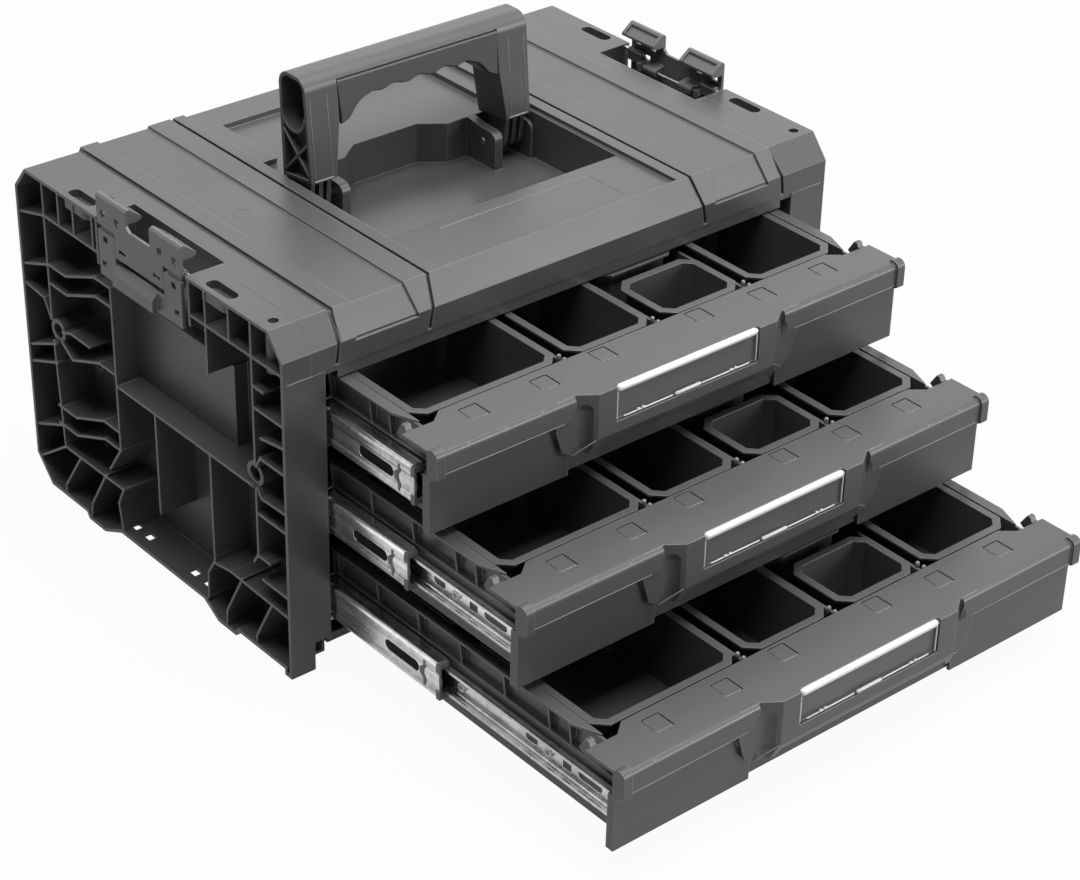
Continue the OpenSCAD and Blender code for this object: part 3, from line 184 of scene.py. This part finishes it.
def mouldedPlastic(name, tone, edge, rough, grain, radius, gloss=0.5):
    surface = mouldedSurface
    finish = Finish(name, IOR=1.5, Specular_IOR_Level=gloss)
    soft, edgeMask = finish.edges(radius)
    cloud = finish.noise(surface["cloud"], 3)
    flow = finish.streaks(surface["flow"], 4)
    pores = finish.noise(surface["grain"], 3)
    noises = (cloud, flow, pores)
    reach, warm = surface["toneReach"], surface["warm"]
    mottle = finish.ramp(swing(noises, surface["toneShares"]), -reach, reach)
    dark, pale = (grey(tone * part, warm) for part in surface["toneRange"])
    body = finish.between(mottle, dark, pale)
    bump = {"Strength": surface["bump"], "Distance": grain, "Height": pores, "Normal": soft}
    # the paler colour on the rounded edges is a painted highlight
    finish.feed(
        Base_Color=finish.between(edgeMask, body, grey(edge, warm)),
        Roughness=rough + swing(noises, surface["roughShares"]) - edgeMask * surface["edgePolish"],
        Normal=finish.node("Bump", None, bump),
    )
    return finish.material


# Zinc-plated sheet: drawn along the rails, with faint scratches and spangles, broad bands of painted
# reflection and paler edges that are a painted highlight

zincLooks = {
    "zincSteel": {"tone": 0.8, "rough": 0.24},
    "screwSteel": {"tone": 0.42, "rough": 0.36},
}

zincSurface = {
    "radius": 0.0003,
    "drawn": (900, 18, 900),  # scales of the noises, per metre
    # painted reflections: pale and dark stripes a few millimetres tall, which take most of the wide
    # tone range
    "band": (2, 0.6, 330),
    "cloud": 40,
    "spangle": 260,
    "toneShares": (0.9, 0.3, 0.15, 0.1),  # of bands, drawn lines, cloud and spangles
    "toneReach": 0.2,
    "toneRange": (0.42, 1.25),
    # paler edges: a painted highlight
    "edgeTone": 1.2,
    "roughShares": (0.2, 0.12),  # of drawn lines and cloud
    "bump": {"Strength": 0.35, "Distance": 0.00004},
    "warm": -0.012,
}


def zincSteel(name, tone, rough):
    surface = zincSurface
    finish = Finish(name, Metallic=1.0)
    soft, edgeMask = finish.edges(surface["radius"])
    drawn = finish.streaks(surface["drawn"], 5)
    # broad bands of painted reflection
    band = finish.streaks(surface["band"], 3)
    cloud = finish.noise(surface["cloud"], 3)
    cells = {"Vector": finish.place, "Scale": surface["spangle"]}
    spangle = finish.node("SeparateColor", None, {0: finish.node("TexVoronoi", None, cells, "Color")})
    reach = surface["toneReach"]
    mottle = finish.ramp(swing((band, drawn, cloud, spangle), surface["toneShares"]), -reach, reach)
    dark, pale = (grey(tone * part, surface["warm"]) for part in surface["toneRange"])
    body = finish.between(mottle, dark, pale)
    finish.feed(
        Base_Color=finish.between(edgeMask, body, grey(min(1, tone * surface["edgeTone"]))),
        Roughness=rough + swing((drawn, cloud), surface["roughShares"]),
        Normal=finish.node("Bump", None, {**surface["bump"], "Height": drawn, "Normal": soft}),
    )
    return finish.material


# Clear polished plastic of the label windows

clearLooks = {
    "clearPlastic": {"tone": 0.3, "cover": 0.14},
    # the second is near white and mostly opaque, for painted highlights on the windows' edges
    "clearHighlight": {"tone": 0.85, "cover": 0.86},
}

clearSurface = {
    "cloud": 30,  # scales of the noises, per metre
    "haze": (20, 200, 500),
    "darkest": 0.94,
    "hazeShare": 0.06,
    "rough": 0.08,
    "roughShare": 0.06,
}


def clearPlastic(name, tone, cover):
    surface = clearSurface
    finish = Finish(name, IOR=1.49)
    cloud = finish.noise(surface["cloud"], 2)
    haze = finish.streaks(surface["haze"], 3)
    finish.feed(
        Base_Color=finish.between(cloud, grey(tone * surface["darkest"]), grey(tone)),
        Alpha=cover + (haze - 0.5) * surface["hazeShare"],
        Roughness=surface["rough"] + (cloud - 0.5) * surface["roughShare"],
    )
    return finish.material


finishes = {}
for make, looks in ((mouldedPlastic, mouldedLooks), (zincSteel, zincLooks), (clearPlastic, clearLooks)):
    for name, look in looks.items():
        finishes[name] = make(name, **look)
print("finishes made")


def finishFor(name):
    if "latch_lever" in name or "latch_hook" in name:
        return "latchPlastic"
    if name.endswith("bins"):
        return "binPlastic"
    if name == "grip_insert":
        return "gripPlastic"
    if name.endswith("rail_stops"):
        return "stopPlastic"
    if name.endswith("label_window"):
        return "clearPlastic"
    if name.endswith("screws"):
        return "screwSteel"
    if "rail" in name and name != "cross_rail" or name.endswith(("pins", "rod", "cages")):
        return "zincSteel"
    return "casePlastic"


for name, piece in nodes.items():
    for place in piece.material_slots:
        place.material = finishes[finishFor(name)]


# Small moulded details: each piece is one mesh that rides on one moving body

mouldings = {
    "end": ((0, 0.45), (0.35, 0.85), (1, 1.0)),  # how a bead's end swells: along it, radius
    "lean": (0.31, 0.2, 0.93),  # a direction that no bead follows
    "smoothArea": 0.00004,  # larger faces stay flat
}


class Moulding:
    def __init__(self, name):
        self.name = name
        self.mesh = bmesh.new()

    def skin(self, rings, closed=False):
        # joins rings of points into a tube, with flat ends unless it closes on itself
        made = [[self.mesh.verts.new(point) for point in ring] for ring in rings]
        count = len(made[0])
        for a, b in zip(made, made[1:] + made[:1] if closed else made[1:]):
            for i in range(count):
                self.mesh.faces.new((a[i], a[(i + 1) % count], b[(i + 1) % count], b[i]))
        if not closed:
            self.mesh.faces.new(made[0][::-1])
            self.mesh.faces.new(made[-1])

    def bead(self, path, radius, facets=10, closed=False):
        # round bead along a path, drawn in at both ends unless it closes on itself
        path = [Vector(point) for point in path]
        turns = [2 * math.pi * k / facets for k in range(facets)]
        rings = []
        last = len(path) - 1
        for i, point in enumerate(path):
            before = path[i - 1] if i or closed else point
            after = path[(i + 1) % len(path)] if i < last or closed else point
            along = (after - before).normalized()
            side = along.cross(Vector(mouldings["lean"])).normalized()
            up = side.cross(along)
            ring = [side * math.cos(t) + up * math.sin(t) for t in turns]
            steps = ((0, 1.0),)
            if not closed and i == 0:
                steps = mouldings["end"]
            if not closed and i == last:
                steps = [(-shift, part) for shift, part in mouldings["end"][::-1]]
            for shift, part in steps:
                rings.append([point + along * shift * radius + spoke * radius * part for spoke in ring])
        self.skin(rings, closed)

    def turned(self, place, profile, facets=14):
        # upright turned form; profile holds (radius, height) from the foot up
        turns = [2 * math.pi * k / facets for k in range(facets)]
        place = Vector(place)
        rings = []
        for r, h in profile:
            rings.append([place + Vector((r * math.cos(t), r * math.sin(t), h)) for t in turns])
        self.skin(rings)

    def slab(self, outline, front, back, steps):
        # outline of (x, z) between two faces that give y from z
        # steps are (inset, depth) from the front, and the same from the back
        normals = []
        for i in range(len(outline)):
            (ax, az), (bx, bz) = outline[i - 1], outline[(i + 1) % len(outline)]
            normals.append(Vector((bz - az, ax - bx)).normalized())
        rings = []
        for place in [(front, 1, step) for step in steps] + [(back, -1, step) for step in steps[::-1]]:
            face, way, (inset, depth) = place
            ring = [(x - n.x * inset, z - n.y * inset) for (x, z), n in zip(outline, normals)]
            rings.append([(x, face(z) + way * depth, z) for x, z in ring])
        self.skin(rings)

    def place(self, body, finish, slot):
        bmesh.ops.recalc_face_normals(self.mesh, faces=self.mesh.faces)
        mesh = bpy.data.meshes.new(self.name)
        self.mesh.to_mesh(mesh)
        self.mesh.free()
        for face in mesh.polygons:
            face.use_smooth = len(face.vertices) == 4 and face.area < mouldings["smoothArea"]
        mesh.materials.append(finishes[finish])
        piece = bpy.data.objects.new(self.name, mesh)
        bpy.context.scene.collection.objects.link(piece)
        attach(piece, body)
        return piece


# Details of a drawer, placed from its front's foremost point, wings, foot and flat top

frontRow = {"wings": 0.0116, "height": 0.0573}

lipHighlightBeads = {
    "lip": (0.0949, 0.1876),  # x of the bead under the lip, from the bay outwards
    "lipHeight": 0.0421,
    "lipAhead": 0.0058,  # of the wings
    "lipStart": (0.001, 0.001, 0.0006),  # its inner end: along, back and down
    "lipRadius": 0.00042,
    "bay": (  # x, ahead of the wings, up from the foot
        (0.0745, 0.0112, 0.0254),
        (0.0875, 0.0036, 0.0156),
    ),
    "bayRadius": 0.0004,
    "pegs": (-0.0595, 0.0175, 0.096),
    "pegPlaces": (0.0371, 0.0424),  # behind the wings
    "pegFoot": 0.0468,
    "pegShape": ((0.0015, 0), (0.0015, 0.0077), (0.0012, 0.0086), (0.0005, 0.009)),
}


# pale beads under the lip and down the bay's sides are painted highlights; the pegs by the bins are
# real, and their pale colour paints their glints
def makeLipHighlightBeads(drawer, wings, foot):
    size = lipHighlightBeads
    moulding = Moulding(drawer + "_lip_beads")
    y, z = wings - size["lipAhead"], foot + size["lipHeight"]
    along, back, down = size["lipStart"]
    for side in sides:
        near, far = (side * x for x in size["lip"])
        path = [(near, y + back, z - down), (near + side * along, y, z), (far, y, z)]
        moulding.bead(path, size["lipRadius"])
        path = [(side * x, wings - ahead, foot + up) for x, ahead, up in size["bay"]]
        moulding.bead(path, size["bayRadius"])
    for x in size["pegs"]:
        for depth in size["pegPlaces"]:
            moulding.turned((x, wings + depth, foot + size["pegFoot"]), size["pegShape"])
    moulding.place(drawer + "_drawer", "edgePlastic", "case_plastic")


scoredSquareShades = {
    "places": ((0.1446, 0.0194), (0.0903, 0.0194), (0.04, 0.024)),  # x both ways, y behind wings
    "half": (0.00645, 0.00695),
    "sunk": 0.00012,
    "lines": (  # start and end in halves of the square, and the radius
        ((-1, 1), (1, 1), 0.00042),
        ((1, 1), (1, -1), 0.0005),
        ((-1, 1), (-1, -0.6), 0.00032),
    ),
    "facets": 6,
}


# dark lines along the far sides of each scored square: painted shade in its grooves
def makeScoredSquareShades(drawer, wings, top):
    size = scoredSquareShades
    moulding = Moulding(drawer + "_scored_squares")
    w, d = size["half"]
    z = top - size["sunk"]
    for x, depth in size["places"]:
        for side in sides:
            for start, end, radius in size["lines"]:
                path = [(side * x + a * w, wings + depth + b * d, z) for a, b in (start, end)]
                moulding.bead(path, radius, size["facets"])
    moulding.place(drawer + "_drawer", "shadePlastic", "dark_plastic")


slotShades = {
    "slots": ((0.0365, 0.0172), (0.15, 0.0122)),  # middle along the rail, and half the length
    "rise": 0.0043,  # half the height
    "out": 0.19005,
    "thick": 0.0001,
    "facets": 12,  # of each round end
}


def makeSlotShades(drawer):
    # the shaded space behind the slots of the middle rails
    size = slotShades
    low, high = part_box(drawer + "_middle_rails")
    z, rise = (low[2] + high[2]) / 2, size["rise"]
    turns = [math.pi * k / size["facets"] for k in range(size["facets"] + 1)]
    moulding = Moulding(drawer + "_slot_shades")
    for side in sides:
        x = side * size["out"]
        for along, half in size["slots"]:
            y = low[1] + along
            outline = [(half - rise + rise * math.sin(t), rise * math.cos(t)) for t in turns]
            outline += [(-a, -b) for a, b in outline]
            faces = (x, x + side * size["thick"])
            moulding.skin([[(face, y + a, z + b) for a, b in outline] for face in faces])
    moulding.place(drawer + "_middle_rails", "shadePlastic", "dark_plastic")


windowHighlights = {
    "half": 0.0582,  # half the width
    "height": 0.021,
    "bar": {"back": 0.002, "down": 0.0024, "end": 0.006, "radius": 0.0024, "facets": 20},
    "under": 0.0026,  # the window's foot under its height
    "ahead": 0.0008,  # the window's plane ahead of its bar
    "sideEdge": {"in": 0.0004, "down": 0.002, "radius": 0.00048},
    "footEdge": {"in": 0.006, "end": 0.012, "up": 0.0005, "radius": 0.0005},
    "bumpsUp": 0.0012,  # the tab and the snap bumps over the window's foot
    "tab": {"half": 0.0108, "ahead": 0.0006, "radius": 0.0011},
    "snap": {"half": 0.0012, "ahead": 0.0002, "radius": 0.001},
    "snaps": (-0.0405, -0.0365, 0.0365, 0.0405),
}


# white beads along the window's bar, sides and foot, and on its tab and snaps: painted highlights of
# the clear plastic
def makeWindowHighlights(drawer, foremost, top):
    size = windowHighlights
    half, bar, sideEdge, footEdge = (size[part] for part in ("half", "bar", "sideEdge", "footEdge"))
    y, z = foremost + bar["back"], top - bar["down"]
    plane = y - size["ahead"]
    low = top - size["height"] - size["under"]
    moulding = Moulding(drawer + "_window_edges")
    path = [(x, y, z) for x in (-half, -half + bar["end"], half - bar["end"], half)]
    moulding.bead(path, bar["radius"], bar["facets"])
    for side in sides:
        x = side * (half - sideEdge["in"])
        moulding.bead([(x, plane, low), (x, plane, z - sideEdge["down"])], sideEdge["radius"])
        reach = (half - footEdge["in"], footEdge["end"])
        path = [(side * x, plane, low + footEdge["up"]) for x in reach]
        moulding.bead(path, footEdge["radius"])
    for middle, bump in [(0, size["tab"])] + [(x, size["snap"]) for x in size["snaps"]]:
        reach = (middle - bump["half"], middle + bump["half"])
        path = [(x, plane - bump["ahead"], low + size["bumpsUp"]) for x in reach]
        moulding.bead(path, bump["radius"])
    moulding.place(drawer + "_window", "clearHighlight", "clear_plastic")


def dressDrawer(drawer):
    _, foremost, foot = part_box(drawer + "_front")[0]
    wings = foremost + frontRow["wings"]
    top = foot + frontRow["height"]
    makeLipHighlightBeads(drawer, wings, foot)
    makeScoredSquareShades(drawer, wings, top)
    makeSlotShades(drawer)
    makeWindowHighlights(drawer, foremost, top)


# Details of the handle

fingerGrip = {
    "face": (0.14185, 0.2454, 0.087),  # y at height z, and the slope of the face
    "back": (0.17405, 0.2412, 0.040),
    "top": 0.311,
    "outer": 0.0662,
    "lobe": 0.2802,  # height of a lobe's foot
    "lobeCurve": (  # from there in to the waves
        (0.0589, 0.2811),
        (0.0566, 0.2826),
        (0.0542, 0.2854),
        (0.0515, 0.2888),
        (0.0482, 0.2915),
        (0.0435, 0.2933),
    ),
    "wave": (0.2947, 0.0011),  # its middle height and its rise
    "waves": (21, 38, 2),  # millimetres from wave to wave, out to both sides and from point to point
    "rim": ((0.0017, 0), (0.0011, 0.0006), (0.0011, 0.0028), (0, 0.0032)),  # inset and depth
}


def leaning(y, base, slope):
    return lambda z: y + (z - base) * slope


def makeFingerGrip():
    # the soft grip: two lobes, and finger waves between them
    size = fingerGrip
    outer, lobe, top = size["outer"], size["lobe"], size["top"]
    height, rise = size["wave"]
    length, reach, step = size["waves"]
    waves = []
    for x in range(reach, -reach - 1, -step):
        waves.append((x / 1000, height + rise * math.cos(2 * math.pi * x / length)))
    right = [(outer, lobe), *size["lobeCurve"]]
    left = [(-x, z) for x, z in right[::-1]]
    outline = right + waves + left + [(-outer, top), (outer, top)]
    moulding = Moulding("finger_grip")
    moulding.slab(outline[::-1], leaning(*size["face"]), leaning(*size["back"]), size["rim"])
    piece = moulding.place("handle", "gripPlastic", "dark_plastic")
    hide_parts("grip_insert")


legHighlightLines = {
    "face": (0.14255, 0.2454, 0.087),  # y at height z, and the slope of the face
    "places": (0.075, 0.0884),
    "heights": (0.2478, 0.303),
    "radius": 0.0004,
    "foot": (0.0735, 0.0892),
    "footUp": 0.0012,
    "footRadius": 0.0006,
    "facets": 8,
}


def makeLegHighlightLines():
    # raised lines on the legs and along their foot, in a pale colour that is a painted highlight
    size = legHighlightLines
    face = leaning(*size["face"])
    y, base, _ = size["face"]
    moulding = Moulding("leg_lines")
    for side in sides:
        for x in size["places"]:
            path = [(side * x, face(z), z) for z in size["heights"]]
            moulding.bead(path, size["radius"], size["facets"])
        path = [(side * x, y, base + size["footUp"]) for x in size["foot"]]
        moulding.bead(path, size["footRadius"], size["facets"])
    moulding.place("handle", "edgePlastic", "case_plastic")


# Faint moulding mark on the left panel of the cover

mouldingMark = {
    "centre": (-0.1502, 0.137, 0.2456),
    "radius": 0.006,
    "turns": 32,
    "beadRadius": 0.00022,
    "facets": 6,
}


def makeMouldingMark():
    size = mouldingMark
    x, y, z = size["centre"]
    radius = size["radius"]
    turns = [2 * math.pi * k / size["turns"] for k in range(size["turns"])]
    ring = [(x + radius * math.cos(t), y + radius * math.sin(t), z) for t in turns]
    moulding = Moulding("moulding_mark")
    moulding.bead(ring, size["beadRadius"], size["facets"], True)
    moulding.place("case", "casePlastic", "case_plastic")


for drawer in drawers:
    dressDrawer(drawer)
makeFingerGrip()
makeLegHighlightLines()
makeMouldingMark()
print("details made")


# Floor and studio light

white = (1, 1, 1, 1)

floorPaper = {
    "half": 6.0,
    "tone": 0.45,
    "cloud": 3,
    "cloudTone": 1.03,
    "seen": 0.95,  # how much of it is plain white to the camera
    "shine": 0.45,  # and to the object's gloss
}


def makeFloor():
    size = floorPaper
    half = size["half"]
    mesh = bpy.data.meshes.new("floor")
    corners = [(-half, -half, 0), (half, -half, 0), (half, half, 0), (-half, half, 0)]
    mesh.from_pydata(corners, [], [(0, 1, 2, 3)])
    floor = bpy.data.objects.new("floor", mesh)
    bpy.context.scene.collection.objects.link(floor)
    finish = Finish("floorPaper", Roughness=0.9, Specular_IOR_Level=0.1)
    tones = (grey(size["tone"]), grey(size["tone"] * size["cloudTone"]))
    finish.feed(Base_Color=finish.between(finish.noise(size["cloud"], 2), *tones))
    seen, glossy, through = finish.rays()
    share = (seen + through) * size["seen"] + glossy * size["shine"]
    paper = Term(finish, finish.shader.outputs[0])
    glow = finish.node("Emission", None, {"Color": white, "Strength": 1.0})
    mixed = finish.node("MixShader", None, {0: share, 1: paper, 2: glow})
    end = finish.tree.nodes["Material Output"]
    finish.tree.links.new(mixed.socket, end.inputs["Surface"])
    mesh.materials.append(finish.material)


studioAir = {
    "band": (0.4, 0.62),  # where low fades into high, by the sine of the height
    "fill": (0.05, 0.05),  # light on the object from low and from high
    "sheen": (1.0, 1.0),  # what its gloss sees there
}


def makeAir():
    world = bpy.data.worlds.new("studioAir")
    bpy.context.scene.world = world
    world.use_nodes = True
    world.node_tree.nodes.clear()
    air = Tree(world.node_tree)
    direction = air.node("TexCoord", output="Generated")
    high = air.ramp(air.node("SeparateXYZ", None, {0: direction}, "Z"), *studioAir["band"])
    seen, glossy, through = air.rays()

    def glow(strength):
        return air.node("Background", None, {"Color": white, "Strength": strength})

    def graded(low, top):
        return glow(low + high * (top - low))

    fill, sheen = (graded(*studioAir[part]) for part in ("fill", "sheen"))
    lit = air.node("MixShader", None, {0: glossy, 1: fill, 2: sheen})
    plain = air.node("Math", {"operation": "MAXIMUM"}, {0: seen, 1: through})
    mixed = air.node("MixShader", None, {0: plain, 1: lit, 2: glow(1.0)})
    end = air.tree.nodes.new("ShaderNodeOutputWorld")
    air.tree.links.new(mixed.socket, end.inputs[0])


lamps = {  # sizes in metres, powers in watts
    "overhead": {"at": (0.0, -0.2, 3.0), "size": 2.4, "power": 138},
    "rearRight": {"at": (1.8, 2.05, 1.66), "size": 2.0, "power": 6},
    "rear": {"at": (-0.3, 3.0, 1.3), "size": 2.2, "power": 2},
    "rightHigh": {"at": (1.7, -1.0, 2.3), "size": 1.6, "power": 12},
    "frontRight": {"at": (1.8, -2.6, 0.95), "size": 1.2, "power": 42},
}
lampAim = (0, 0, 0.12)


def makeLamp(name, at, size, power):
    light = bpy.data.lights.new(name, "AREA")
    light.size = size
    light.energy = power
    lamp = bpy.data.objects.new(name, light)
    lamp.location = at
    lamp.rotation_mode = "QUATERNION"
    lamp.rotation_quaternion = (Vector(at) - Vector(lampAim)).to_track_quat("Z", "Y")
    bpy.context.scene.collection.objects.link(lamp)


makeFloor()
makeAir()
for name, lamp in lamps.items():
    makeLamp(name, **lamp)
print("studio lit")


# Camera

shot = {
    "azimuth": -40.719,  # degrees, 0 looks along +Y
    "elevation": 31.479,
    "roll": 1.352,
    "place": (-1.03215, -1.18162, 1.04723),
    "lens": 92.88,  # in millimetres, like the sensor's width
    "sensor": 36,
}


def makeCamera():
    a, e, r = (math.radians(shot[key]) for key in ("azimuth", "elevation", "roll"))
    back = Vector((math.sin(a) * math.cos(e), -math.cos(a) * math.cos(e), math.sin(e)))
    right = Vector((math.cos(a), math.sin(a), 0))
    up = back.cross(right)
    across = right * math.cos(r) + up * math.sin(r)
    above = up * math.cos(r) - right * math.sin(r)
    seen = bpy.data.cameras.new("camera")
    seen.lens = shot["lens"]
    seen.sensor_width = shot["sensor"]
    camera = bpy.data.objects.new("camera", seen)
    turn = Matrix((across, above, back)).transposed().to_4x4()
    camera.matrix_world = Matrix.Translation(shot["place"]) @ turn
    bpy.context.scene.collection.objects.link(camera)
    bpy.context.scene.camera = camera


makeCamera()
bpy.context.scene.view_settings.view_transform = "Standard"
print("camera placed")
